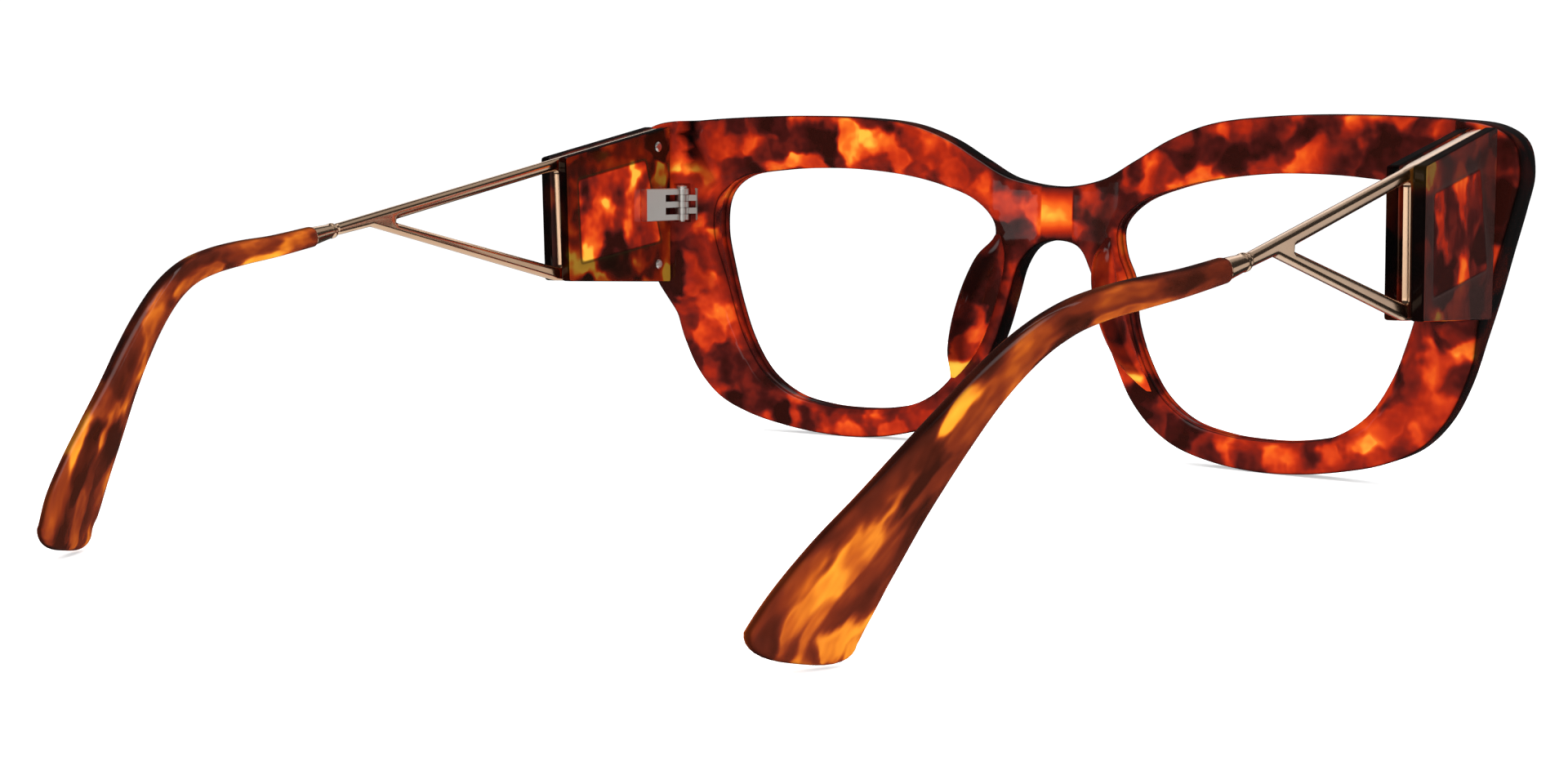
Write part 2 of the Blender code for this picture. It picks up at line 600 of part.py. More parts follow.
def main():
    clear_scene()
    collection = new_collection("eyeglasses_frame")
    cutters = new_collection("cutters")
    front = make_front(collection, cutters)
    for side, sign in SIDES.items():
        pivot = bpy.data.objects.new(f"temple_pivot_{side}", None)
        pivot.location = place((sign * HINGE_X, HINGE_Y, sum(HINGE_Z) / 2))
        collection.objects.link(pivot)
        make_pad(side, sign, collection)
        make_hinge(side, sign, pivot, front, collection, cutters)
        make_temple_plates(side, sign, pivot, collection, cutters)
        make_ferrule(side, sign, pivot, collection)
        make_tip(side, sign, pivot, collection, cutters)


main()
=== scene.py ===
"""Looks of the eyeglasses frame: polished tortoise acetate, rose-gold temple cores, nickel hinges.

Sizes are in millimetres from the back of the bridge, as in the CAD source: +X is the wearer's
right, +Y is forward, +Z is up.
"""
import math

import bmesh
import bpy
import numpy as np
from mathutils import Matrix, Vector
from mathutils.geometry import delaunay_2d_cdt


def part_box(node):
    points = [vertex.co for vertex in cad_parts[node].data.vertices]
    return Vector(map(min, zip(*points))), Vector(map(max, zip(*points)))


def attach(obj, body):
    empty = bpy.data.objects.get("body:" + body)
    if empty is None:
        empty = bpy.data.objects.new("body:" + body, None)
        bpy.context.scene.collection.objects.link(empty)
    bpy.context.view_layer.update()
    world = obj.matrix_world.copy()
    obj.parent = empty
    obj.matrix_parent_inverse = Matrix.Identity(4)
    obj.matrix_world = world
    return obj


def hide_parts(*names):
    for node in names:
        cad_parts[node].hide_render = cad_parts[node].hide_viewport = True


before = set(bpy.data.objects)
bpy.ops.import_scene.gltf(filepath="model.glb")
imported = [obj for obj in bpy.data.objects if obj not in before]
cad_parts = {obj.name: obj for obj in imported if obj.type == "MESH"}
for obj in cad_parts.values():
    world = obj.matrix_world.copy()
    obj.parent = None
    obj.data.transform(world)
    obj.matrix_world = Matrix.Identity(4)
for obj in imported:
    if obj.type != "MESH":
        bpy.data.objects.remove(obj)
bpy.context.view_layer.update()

MM = 0.001
TEMPLE_FRONT_Y = -9.7
BACK_OF_BRIDGE_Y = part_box("temple_core_right")[1].y / MM - TEMPLE_FRONT_Y
FOOT_Z = -0.504              # the part's lowest point, which stands on the floor
SIDES = {"left": -1, "right": 1}

# ---------------------------------------------------------------- numbers shared with the CAD
# front: half outline and the right opening, as (x, z)
FRONT_THICKNESS = 4.6
FRONT_WRAP = 0.0024
FRONT_TILT = 0.018
TILT_HEIGHT = 25.0
OUTLINE_HALF = [
    (0.0, 41.6), (7.9, 42.8), (13.8, 45.8), (19.8, 49.1), (26.9, 51.5), (36.0, 52.5), (46.0, 52.8),
    (56.0, 52.6), (65.0, 52.1), (71.6, 51.3), (75.4, 48.9), (76.4, 44.5), (75.5, 39.9), (73.8, 33.5),
    (72.1, 26.9), (70.3, 20.9), (68.5, 15.0), (65.7, 9.4), (61.6, 5.1), (56.2, 2.5), (50.1, 0.9),
    (43.0, -0.2), (36.0, -0.5), (28.9, 0.2), (22.3, 2.0), (17.5, 5.0), (14.0, 8.9), (11.7, 13.3),
    (9.5, 18.4), (7.8, 24.0), (6.3, 28.9), (3.9, 32.1), (0.0, 33.1)]
OPENING = [
    (13.0, 27.0), (13.6, 21.0), (15.6, 15.3), (18.9, 9.9), (23.8, 6.2), (30.0, 4.6), (36.0, 4.2),
    (42.0, 4.5), (48.2, 5.9), (53.4, 9.4), (57.0, 14.8), (59.3, 20.8), (61.0, 27.0), (62.3, 33.5),
    (61.6, 39.3), (57.8, 42.6), (51.0, 43.7), (43.5, 44.1), (36.0, 44.0), (28.0, 43.2), (21.0, 41.7),
    (14.8, 39.4), (11.1, 35.8), (11.2, 31.5)]
BUTT_Y = -9.4
BUTT_X = 67.2
SLOPE_X = 60.5
SLOPE_TOP_Z = 40.0
SLOPE_LEAN = 0.6
BLOCK_Z = (19.0, 24.6)
HINGE_X = 66.0
HINGE_Y = -9.2
HINGE_Z = (35.2, 40.6)
WELL_RADIUS = 1.6
WELL_BELOW, WELL_ABOVE = 0.3, 0.8      # how far the wells pass the knuckles
WELL_RIM_ANGLE = math.radians(40)      # sharper edges than this stay sharp
WELL_REACH = 1.02            # what lies within this many well radii belongs to the well

# metal cores: corners as (y, z)
CORE_X = 70.6
CORE_THICKNESS = 1.5
CORE_ROUND = (0.75, 0.7)     # rounding of the bars' edges, along the face and across it
CORE_BETWEEN_PLATES = 0.4    # how much of that rounding the part between the plates has
CORE_CHANGE_Y = (-39.0, -35.0)         # where the rounding changes
CORE_CORNER, CORE_HOLE_CORNER = 0.8, 0.4
CORE_SPACING, CORE_FACE_SPACINGS = 0.35, (3.0, 3.0)
CORE_TOP_Z, RAIL_SLOPE, RAIL_HEIGHT, STEM_HEIGHT = 50.8, 0.18, 1.9, 1.7
CORE_FOOT = [(TEMPLE_FRONT_Y, 24.9), (-35.5, 26.2), (-37.5, 26.3), (-79.0, 36.4)]
CORE_WINDOW = [(-16.5, 45.58), (-12.3, 31.6), (-33.6, 28.9), (-34.4, 42.55)]
TRIANGLE_TOP_Y, TRIANGLE_FOOT = -36.8, [(-36.0, 28.2), (-74.9, 37.1)]

# nose pads: (x, z, how far it stands out behind the front, half width)
PAD_ROUTE = [
    (9.6, 32.8, 1.0, 0.9), (9.5, 30.6, 3.6, 1.8), (9.9, 27.0, 5.4, 2.2), (10.9, 23.0, 6.0, 2.3),
    (12.3, 19.0, 5.6, 2.2), (14.2, 15.0, 4.0, 1.9), (16.4, 11.8, 1.2, 1.0)]
PAD_TAPERS = [(9.8, 33.9, 0.1, 0.4), (17.5, 10.5, 0.1, 0.4)]       # feathered ends, beyond the CAD's
PAD_FLARE = 0.30
BOND_GAP = 0.1
SOFT_SIDES, SOFT_POWER = 48, 2.4       # points and squareness of a pad's or a tip's section

# temple tips: (x, y, z, half height, half width)
TIP_ROUTE = [
    (69.1, -99.5, 34.4, 1.55, 1.45), (68.2, -106.5, 33.8, 1.7, 1.55), (66.9, -113.0, 33.0, 1.75, 1.6),
    (65.5, -118.5, 31.7, 1.8, 1.65), (63.9, -123.5, 29.3, 1.95, 1.7), (62.1, -128.4, 25.6, 2.25, 1.7),
    (60.3, -133.0, 21.1, 2.75, 1.7), (58.4, -137.4, 16.3, 3.45, 1.7), (56.8, -141.4, 11.8, 4.3, 1.65),
    (55.4, -144.8, 8.0, 5.1, 1.6), (54.3, -147.4, 4.9, 5.8, 1.6), (53.6, -148.9, 2.7, 6.25, 1.55)]
TIP_START_SIZE = (1.45, 1.4)
TIP_SKEW_START = 10.0        # below this height the sections lean over until the end is level
TIP_SKEW = 0.95
TIP_END_REACH = 2.45
TIP_END_TURNS = (12, 24, 36, 48, 60, 70, 78, 84, 88)
TIP_END_POWERS = (0.7, 0.65)

FERRULE_Y = -86.5
FERRULE_LENGTH = 5.0
FERRULE_RUN = (-0.10, -1.0, -0.15)
FERRULE_PROFILE = [          # radius and distance behind the ferrule's start
    (0.95, 0.0), (1.08, 0.1), (1.12, 0.25), (1.12, 0.55), (1.07, 0.7), (1.03, 0.85), (1.06, 1.3),
    (1.31, 4.7), (1.32, 4.82), (1.29, 4.93), (1.22, FERRULE_LENGTH), (0.75, FERRULE_LENGTH),
    (0.7, FERRULE_LENGTH + 0.05), (0.7, FERRULE_LENGTH + 9.0)]


def place(point):
    """World position, in metres, of a point in millimetres."""
    x, y, z = point
    return Vector((x, y + BACK_OF_BRIDGE_Y, z - FOOT_Z)) * MM


# ---------------------------------------------------------------- curves and meshes
def smooth_curve(points, steps, closed=True):
    """Catmull-Rom curve through rows of numbers, as an array."""
    points = np.array(points, float)
    count = len(points)
    rows = []
    for i in range(count if closed else count - 1):
        if closed:
            a, b, c, d = (points[(i + k) % count] for k in (-1, 0, 1, 2))
        else:
            a, b, c, d = (points[min(max(i + k, 0), count - 1)] for k in (-1, 0, 1, 2))
        for j in range(steps):
            t = j / steps
            rows.append(0.5 * (2 * b + (c - a) * t + (2 * a - 5 * b + 4 * c - d) * t ** 2
                               + (3 * b - a - 3 * c + d) * t ** 3))
    if not closed:
        rows.append(points[-1])
    return np.array(rows)


def evenly(loop, spacing):
    """A closed 2-D loop's points, spaced evenly along it and running anticlockwise."""
    ring = np.vstack([loop, loop[:1]])
    along = np.concatenate([[0], np.cumsum(np.linalg.norm(np.diff(ring, axis=0), axis=1))])
    count = int(round(along[-1] / spacing))
    stops = np.linspace(0, along[-1], count, endpoint=False)
    even = np.stack([np.interp(stops, along, ring[:, k]) for k in (0, 1)], axis=1)
    after = np.roll(even, -1, axis=0)
    area = np.sum(even[:, 0] * after[:, 1] - after[:, 0] * even[:, 1])
    return even if area > 0 else even[::-1]


def left_normals(loop):
    """Unit normals on the left of an anticlockwise loop, which is its inside."""
    run = np.roll(loop, -1, axis=0) - np.roll(loop, 1, axis=0)
    run /= np.linalg.norm(run, axis=1)[:, None]
    return np.stack([-run[:, 1], run[:, 0]], axis=1)


def inside(points, loop):
    """Which points lie inside a closed loop."""
    x, z = points[:, :1], points[:, 1:]
    a, b = loop, np.roll(loop, -1, axis=0)
    crosses = (a[:, 1] > z) != (b[:, 1] > z)
    rise = np.where(b[:, 1] == a[:, 1], 1e-9, b[:, 1] - a[:, 1])
    meets = a[:, 0] + (z - a[:, 1]) / rise * (b[:, 0] - a[:, 0])
    return (np.sum(crosses & (x < meets), axis=1) % 2) == 1


def nearest(points, loop):
    """Distance of each point from a loop's points."""
    return np.sqrt(((points[:, None, :] - loop[None, :, :]) ** 2).sum(-1)).min(1)


def soft_step(value, low, high):
    t = np.clip((value - low) / (high - low), 0, 1)
    return t * t * (3 - 2 * t)


def soft_ramp(value, low, high, blend):
    """0 to 1 in a straight slope between low and high, its two ends rounded over blend."""
    def knee(v):
        return np.where(v < -blend, 0, np.where(v > blend, v, (v + blend) ** 2 / (4 * blend)))
    return (knee(value - low) - knee(value - high)) / (high - low)


def fillet(along, across, turns):
    """A rounded edge, from its face outwards: (distance in from the edge, distance below the face)."""
    arcs = [math.radians(turn) for turn in turns]
    return [(along * (1 - math.cos(a)), across * (1 - math.sin(a))) for a in arcs]


def rounded(corners, radius, steps):
    """A polygon's points with each corner turned into an arc."""
    loop = []
    for i, corner in enumerate(corners):
        here = Vector(corner)
        back = Vector(corners[i - 1]) - here
        ahead = Vector(corners[(i + 1) % len(corners)]) - here
        reach = min(radius / math.tan(back.angle(ahead) / 2), 0.45 * back.length, 0.45 * ahead.length)
        start, end = here + back.normalized() * reach, here + ahead.normalized() * reach
        loop += [(1 - t) ** 2 * start + 2 * t * (1 - t) * here + t ** 2 * end
                 for t in np.linspace(0, 1, steps + 1)]
    return np.array(loop)


def new_object(name, work, mat):
    mesh = bpy.data.meshes.new(name)
    bmesh.ops.recalc_face_normals(work, faces=work.faces)
    work.to_mesh(mesh)
    work.free()
    for face in mesh.polygons:
        face.use_smooth = True
    mesh.materials.append(mat)
    thing = bpy.data.objects.new(name, mesh)
    bpy.context.scene.collection.objects.link(thing)
    return thing


def lofted(name, stations, mat, sides, power):
    """Closed body through superellipse sections: (centre, across, up, half width, half height)."""
    work = bmesh.new()
    along = work.verts.layers.float_vector.new("along")
    rings = []
    run = 0.0
    last_centre = stations[0][0]
    for centre, across, up, half_width, half_height in stations:
        run += (centre - last_centre).length
        last_centre = centre
        ring = []
        for k in range(sides):
            turn = 2 * math.pi * k / sides
            c, s = math.cos(turn), math.sin(turn)
            wide = half_width * math.copysign(abs(c) ** (2 / power), c)
            high = half_height * math.copysign(abs(s) ** (2 / power), s)
            ring.append(work.verts.new(place(centre + across * wide + up * high)))
            ring[-1][along] = Vector((wide, run, high)) * MM
        rings.append(ring)
    for first, last in zip(rings, rings[1:]):
        for k in range(sides):
            work.faces.new((first[k], first[(k + 1) % sides], last[(k + 1) % sides], last[k]))
    work.faces.new(reversed(rings[0]))
    work.faces.new(rings[-1])
    return new_object(name, work, mat)


GRID_ROWS = 0.87             # row distance of a triangular grid, over its spacing
GRID_CLEARANCE = 0.55        # a grid point's least distance from a ring, over the spacing


def face_mesh(rings, spacing):
    """Triangles between an outer ring and two inner rings, with the points that they use."""
    outer, *inner = rings
    low, high = outer.min(0), outer.max(0)
    xs = np.arange(low[0], high[0], spacing)
    zs = np.arange(low[1], high[1], spacing * GRID_ROWS)
    grid = np.array([(x + (row % 2) * spacing / 2, z) for row, z in enumerate(zs) for x in xs])
    clear = spacing * GRID_CLEARANCE
    keep = inside(grid, outer) & (nearest(grid, outer) > clear)
    for ring in inner:
        keep &= ~inside(grid, ring) & (nearest(grid, ring) > clear)
    points = np.vstack([*rings, grid[keep]])
    edges = []
    first = 0
    for ring in rings:
        edges += [(first + i, first + (i + 1) % len(ring)) for i in range(len(ring))]
        first += len(ring)
    verts, _, faces, origins, _, _ = delaunay_2d_cdt([Vector(p) for p in points], edges, [], 0, 1e-6)
    points = np.array([tuple(v) for v in verts])
    index = {source: k for k, sources in enumerate(origins) for source in sources}
    middles = np.array([points[list(face)].mean(0) for face in faces])
    keep = inside(middles, outer)
    for ring in inner:
        keep &= ~inside(middles, ring)
    return points, [face for face, kept in zip(faces, keep) if kept], index


def closed_sheet(work, loops, sections, level, spacings):
    """Both faces and all edges of a sheet. Each loop has rows, from one face to the other, that start
    with a distance in from the loop; level makes the points of one row."""
    walls = [[None] * len(rows) for rows in sections]
    for which, spacing in zip((0, -1), spacings):
        rings = [loop + normal * rows[which][0] for (loop, normal), rows in zip(loops, sections)]
        points, faces, index = face_mesh(rings, spacing)
        verts = level(points, sections[0][which])
        for triangle in faces:
            work.faces.new([verts[k] for k in triangle])
        first = 0
        for wall, ring in zip(walls, rings):
            wall[which] = [verts[index[first + i]] for i in range(len(ring))]
            first += len(ring)
    for (loop, normal), rows, wall in zip(loops, sections, walls):
        for i, row in enumerate(rows[1:-1], 1):
            wall[i] = level(loop + normal * row[0], row)
        for first, last in zip(wall, wall[1:]):
            for i in range(len(loop)):
                j = (i + 1) % len(loop)
                work.faces.new((first[i], first[j], last[j], last[i]))
    return walls


# ---------------------------------------------------------------- materials
class Look:
    """The nodes of a material or a world, with short ways to add them and to feed their inputs."""

    def __init__(self, owner):
        owner.use_nodes = True
        self.tree = owner.node_tree
        self.coordinates = self.node("ShaderNodeTexCoord").outputs

    def feed(self, node, inputs):
        """Give named or numbered inputs a value each, or another node's output."""
        for name, value in inputs.items():
            if isinstance(value, bpy.types.NodeSocket):
                self.tree.links.new(value, node.inputs[name])
            else:
                node.inputs[name].default_value = value

    def node(self, kind, inputs=None, **settings):
        made = self.tree.nodes.new(kind)
        for name, value in settings.items():
            setattr(made, name, value)
        self.feed(made, inputs or {})
        return made

    def math(self, operation, *values):
        return self.node("ShaderNodeMath", dict(enumerate(values)), operation=operation).outputs[0]

    def vector(self, operation, *values, output="Vector"):
        made = self.node("ShaderNodeVectorMath", dict(enumerate(values)), operation=operation)
        return made.outputs[output]

    def scaled(self, vector, share):
        made = self.node("ShaderNodeVectorMath", {0: vector, "Scale": share}, operation="SCALE")
        return made.outputs["Vector"]

    def axes(self, vector):
        return self.node("ShaderNodeSeparateXYZ", {"Vector": vector}).outputs

    def mix(self, share, first, second):
        inputs = {0: share, 2: first, 3: second}
        return self.node("ShaderNodeMix", inputs, data_type="FLOAT").outputs[0]

    def remap(self, value, low, high, to=(0.0, 1.0), smooth=False):
        """A value's range stretched onto another one, and clamped to it."""
        inputs = {"Value": value, "From Min": low, "From Max": high, "To Min": to[0], "To Max": to[1]}
        kind = "SMOOTHSTEP" if smooth else "LINEAR"
        return self.node("ShaderNodeMapRange", inputs, interpolation_type=kind).outputs["Result"]

    def noise(self, vector, scale, detail, **others):
        inputs = {"Vector": vector, "Scale": scale, "Detail": detail, **others}
        return self.node("ShaderNodeTexNoise", inputs).outputs

    def ramp(self, value, stops):
        """A colour ramp through stops: (position, colour)."""
        made = self.node("ShaderNodeValToRGB", {"Fac": value})
        elements = made.color_ramp.elements
        while len(elements) < len(stops):
            elements.new(0.5)
        for element, (position, colour) in zip(elements, stops):
            element.position = position
            element.color = (*colour, 1.0)
        return made.outputs["Color"]

    def bump(self, height, strength, distance):
        inputs = {"Height": height, "Strength": strength, "Distance": distance}
        return self.node("ShaderNodeBump", inputs).outputs["Normal"]

    def attribute(self, name, output="Vector"):
        return self.node("ShaderNodeAttribute", attribute_name=name).outputs[output]


def new_material(name):
    mat = bpy.data.materials.new(name)
    look = Look(mat)
    return mat, look, look.tree.nodes["Principled BSDF"]


TORTOISE = [
    (0.12, (0.018, 0.003, 0.002)), (0.22, (0.042, 0.005, 0.004)), (0.29, (0.09, 0.008, 0.005)),
    (0.37, (0.155, 0.010, 0.005)), (0.45, (0.26, 0.014, 0.004)), (0.52, (0.38, 0.024, 0.005)),
    (0.59, (0.50, 0.044, 0.006)), (0.68, (0.61, 0.108, 0.010)), (0.78, (0.66, 0.34, 0.035))]
AMBER = [
    (0.20, (0.030, 0.006, 0.003)), (0.32, (0.07, 0.011, 0.005)), (0.42, (0.13, 0.018, 0.006)),
    (0.50, (0.22, 0.036, 0.007)), (0.56, (0.36, 0.072, 0.008)), (0.62, (0.50, 0.135, 0.011)),
    (0.68, (0.60, 0.20, 0.015)), (0.75, (0.68, 0.27, 0.02)), (0.84, (0.72, 0.35, 0.03))]
CELL_WARP, CELL_SMOOTHNESS = 2.2, 0.55
CLOUD_SCALE, CLOUD_SHARE = 0.6, 0.6
ACETATE_GLOW = 0.35          # painted glow: the acetate emits its own colour, standing in for light that comes through the plastic
# how far the hinge wells keep the painted wall shade: at 1 their walls are not darkened
WELL_TONE = 1.0
BAND_HEIGHT, BAND_TONE, BAND_FALL = 37.6, 0.735, 0.03      # the amber band on the bridge's back
BAND_PATTERN, BAND_BLUR = 0.3, 0.15
BAND_DEPTH = 3.6             # the band doesn't reach the face
GLOW_SPOT, GLOW_RADII, GLOW_LIFT = (65.0, 41.6), (4.69, 1.0), 0.30     # painted glow: bright patches over the hinges
FLANK_X, FLANK_DROP = (17.0, 9.0), -0.10      # the bridge's flanks are dark
BLOCK_PAINTED_SHADE = -0.13           # painted shade: the thick end pieces are darkened where the temple plates meet them
PAD_FOOT_RUN, PAD_FOOT_PAINTED_GLOW = (2.5, 4.6), 0.34     # painted glow: the pads' thin lower ends are brighter, standing in for light coming through them
# painted light: how much brighter the plate is over the core's window
WINDOW_PAINTED_LIGHT = 0.03
WINDOW_SOFTNESS, WINDOW_ROUND = 1.0, 1.2      # of the window's edges and corners
HIDDEN_TONES = (0.03, 0.35)  # window tones between which the painted reflection of the metal behind a plate fades out


def blotches(look, vector, cell, bias, contrast):
    """The acetate's random tone: warped cells with soft borders, mixed with a cloud."""
    size = cell * MM
    warp = look.vector("SUBTRACT", look.noise(vector, CLOUD_SCALE / size, 3.0)["Color"], (0.5, 0.5, 0.5))
    bent = look.vector("MULTIPLY_ADD", warp, (CELL_WARP * size,) * 3, vector)
    cells = look.node("ShaderNodeTexVoronoi", {"Vector": bent, "Scale": 1 / size, "Randomness": 1.0,
                                               "Smoothness": CELL_SMOOTHNESS}, feature="SMOOTH_F1")
    cell_tone = look.node("ShaderNodeSeparateColor", {"Color": cells.outputs["Color"]}).outputs["Red"]
    cloud = look.noise(vector, CLOUD_SCALE / size, 3.0, Roughness=0.6)["Fac"]
    mixed = look.mix(CLOUD_SHARE, cell_tone, cloud)
    return look.math("MULTIPLY_ADD", mixed, contrast, bias + 0.5 * (1 - contrast))


def painted_window_light(look, metal_painted_shade):
    """Painted light and shade in a temple plate: white over the metal core's window, where light comes
    through, and painted shade over its metal, in the plane of the plate.
    """
    corners = [Vector((0, *place((0, y, z)).yz)) for y, z in CORE_WINDOW]
    middle = sum(corners, Vector()) / len(corners)
    depth = None
    for a, b in zip(corners, corners[1:] + corners[:1]):
        normal = (b - a).cross(Vector((1, 0, 0))).normalized()
        if normal.dot(middle - a) < 0:
            normal.negate()
        reach = look.vector("DOT_PRODUCT", look.coordinates["Object"], normal, output="Value")
        reach = look.math("SUBTRACT", reach, normal.dot(a))
        if depth is not None:
            reach = look.math("SMOOTH_MIN", depth, reach, WINDOW_ROUND * MM)
        depth = reach
    share = look.remap(depth, -WINDOW_SOFTNESS * MM, WINDOW_SOFTNESS * MM)
    # painted shade over the metal, darkest in a painted line at the window's edge; full light in the
    # window
    tones = [(0.0, 0.30 * metal_painted_shade), (0.35, 0.26 * metal_painted_shade), (0.44, 0.10 * metal_painted_shade),
             (0.56, 0.16), (0.70, 1.0)]
    return look.ramp(share, [(position, (tone,) * 3) for position, tone in tones])


def placed_tones(look, tone):
    """The front's tone with what isn't random: painted shade on the end pieces, dark bridge flanks, a
    painted glow over each hinge, and an amber band on the flat of the bridge's hollow back."""
    x, y, z = look.axes(look.coordinates["Object"])
    side = look.math("ABSOLUTE", x)
    out = look.remap(side, SLOPE_X * MM, BUTT_X * MM, smooth=True)
    high = look.remap(z, *((level - FOOT_Z) * MM for level in BLOCK_Z), smooth=True)
    # painted shade on the end pieces
    tone = look.math("MULTIPLY_ADD", look.math("MULTIPLY", out, high), BLOCK_PAINTED_SHADE, tone)
    flank = look.remap(side, *(edge * MM for edge in FLANK_X), smooth=True)
    tone = look.math("MULTIPLY_ADD", flank, FLANK_DROP, tone)
    # painted glow: a bright patch over each hinge
    across = look.math("MULTIPLY_ADD", side, 1 / MM, -GLOW_SPOT[0])
    rise = look.math("MULTIPLY_ADD", z, 1 / MM, FOOT_Z - GLOW_SPOT[1])
    reach = look.math("MULTIPLY_ADD", rise, rise, look.math("MULTIPLY", across, across))
    glow = look.remap(reach, *(radius ** 2 for radius in GLOW_RADII), smooth=True)
    tone = look.math("MULTIPLY_ADD", glow, GLOW_LIFT, tone)
    rise = look.math("MULTIPLY_ADD", z, 1 / MM, FOOT_Z - BAND_HEIGHT)
    fall = look.math("MULTIPLY", look.math("MULTIPLY", rise, rise), -BAND_FALL)
    steady = look.math("ADD", fall, BAND_TONE - 0.5 * BAND_PATTERN)
    amber = look.math("MULTIPLY_ADD", tone, BAND_PATTERN, steady)
    rear = look.remap(y, *((BACK_OF_BRIDGE_Y + depth) * MM for depth in (BAND_DEPTH, BAND_DEPTH / 2)),
                      smooth=True)
    flat = SCOOP[0][0]
    middle = look.remap(side, (flat + BAND_BLUR) * MM, (flat - BAND_BLUR) * MM)
    return look.mix(look.math("MULTIPLY", middle, rear), tone, amber)


def tortoise(name, piece, colours, cell, shift, bias, contrast, wall, stretch=(1, 1, 1), painted_metal_backing=None):
    """Polished tortoise acetate for a front, pad, tip or plate, with a painted glow. Its walls and edges
    get painted shade, down to the tone wall; a plate also gets the painted shade and painted reflection of
    the metal behind it."""
    mat, look, shader = new_material(name)
    spot = look.attribute("along") if piece == "tip" else look.coordinates["Object"]
    moved = [distance * scale for distance, scale in zip(shift, stretch)]
    spot = look.node("ShaderNodeMapping", {"Vector": spot, "Location": moved, "Scale": stretch}).outputs[0]
    tone = blotches(look, spot, cell, bias, contrast)
    if piece == "front":
        tone = placed_tones(look, tone)
        # the rows of the openings' walls carry their own painted shade
        wall = look.math("MAXIMUM", look.attribute("opening", "Fac"), wall)
    elif piece == "pad":
        # painted glow on the thin lower end, which also loses its painted wall shade
        run = look.axes(look.attribute("along"))["Y"]
        low, high = PAD_FOOT_RUN
        painted_foot_glow = look.remap(run, high * MM, low * MM, (0, PAD_FOOT_PAINTED_GLOW), smooth=True)
        tone = look.math("ADD", tone, painted_foot_glow)
        wall = look.remap(painted_foot_glow, 0, PAD_FOOT_PAINTED_GLOW, (wall, 1))
    elif piece == "plate":
        metal_painted_shade, metal_painted_reflection = painted_metal_backing
        # painted light through the core's window and painted shade over its metal
        window_light_and_shade = painted_window_light(look, metal_painted_shade)
        tone = look.math("MULTIPLY_ADD", window_light_and_shade, WINDOW_PAINTED_LIGHT, tone)
    tint = look.ramp(tone, colours)
    if piece == "plate":
        # painted reflection of the metal behind the acetate, where the plate is darkest
        painted_metal_reflection_tint = look.scaled(metal_painted_reflection, look.remap(window_light_and_shade, *HIDDEN_TONES, (1, 0)))
        tint = look.vector("MULTIPLY_ADD", tint, window_light_and_shade, painted_metal_reflection_tint)
    # painted shade: walls and edges are darkened by which way they face, standing in for their darker look
    # through more plastic
    normal = look.axes(look.coordinates["Normal"])["Y" if piece == "front" else "X"]
    edge, flat = (0.15, 0.70) if piece == "tip" else (0.40, 0.99)
    shade = look.remap(look.math("ABSOLUTE", normal), edge, flat, (wall, 1), smooth=True)
    tint = look.scaled(tint, shade)
    polish, ripple = (look.noise(look.coordinates["Object"], *grain)["Fac"]
                      for grain in ((350.0, 2.0), (220.0, 1.0)))
    # painted glow: the tint, painted shade included, is also emitted
    look.feed(shader, {
        "Base Color": tint, "Emission Color": tint, "Emission Strength": ACETATE_GLOW,
        "Roughness": look.remap(polish, 0, 1, (0.05, 0.14)), "Normal": look.bump(ripple, 0.06, 0.0004),
        "IOR": 1.49, "Specular IOR Level": 0.32})
    return mat


def plated(name, dull, bright, roughness, grain):
    """Plated metal: a slightly uneven colour, and a faint brushed grain."""
    mat, look, shader = new_material(name)
    spot = look.coordinates["Object"]
    stretched = look.node("ShaderNodeMapping", {"Vector": spot, "Scale": grain}).outputs[0]
    brushed = look.noise(stretched, 6.0, 4.0)["Fac"]
    worn = look.noise(spot, 60.0, 3.0)["Fac"]
    look.feed(shader, {
        "Base Color": look.ramp(worn, [(0.3, dull), (0.7, bright)]),
        "Roughness": look.remap(brushed, 0.3, 0.7, roughness),
        "Normal": look.bump(brushed, 0.003, 0.00002), "Metallic": 1.0})
    return mat


# ---------------------------------------------------------------- front
FACE_FILLET = 0.7            # rounding of the front's outer edge
CHAMFER = 1.0                # width of the polished chamfer round the back of each opening
FRONT_FILLET = 0.6           # rounding of the openings' edge on the face
FRONT_ARC = (90, 67, 45, 22, 0)
# painted shade: a near-black line along the openings' edge on the face
FRONT_EDGE_PAINTED_SHADE = 0.04
SCOOP = [(2.8, 1.1), (11.5, 0.0)]      # the bridge's hollow back: half width and depth, flat and end
SCOOP_Z = (29.0, 33.0)       # it starts between these heights
SLOPE_BLEND, BLOCK_BLEND, SCOOP_BLEND = 0.07, 0.9, 0.35
RING_SPACING = 0.7
FACE_SPACINGS = (0.85, 1.4)


def back_y(x, z):
    """Y of the front's back face, with the end pieces and the bridge's scooped back."""
    side = np.abs(x)
    bend = FRONT_TILT * (z - TILT_HEIGHT) - FRONT_WRAP * x * x / 2
    start = np.minimum(SLOPE_X + SLOPE_LEAN * np.maximum(0.0, z - SLOPE_TOP_Z), BUTT_X - 1.0)
    slope = soft_ramp((side - start) / (BUTT_X - start), 0, 1, SLOPE_BLEND)
    fade = soft_ramp(z, *BLOCK_Z, BLOCK_BLEND)
    (flat, depth), (flank, _) = SCOOP
    scoop = depth * (1 - soft_ramp(side, flat, flank, SCOOP_BLEND)) * soft_step(z, *SCOOP_Z)
    return bend - slope * fade * (bend - BUTT_Y) + scoop


def front_y(x, z):
    """Y of the front's outer face."""
    return FRONT_TILT * (z - TILT_HEIGHT) - FRONT_WRAP * x * x / 2 + FRONT_THICKNESS


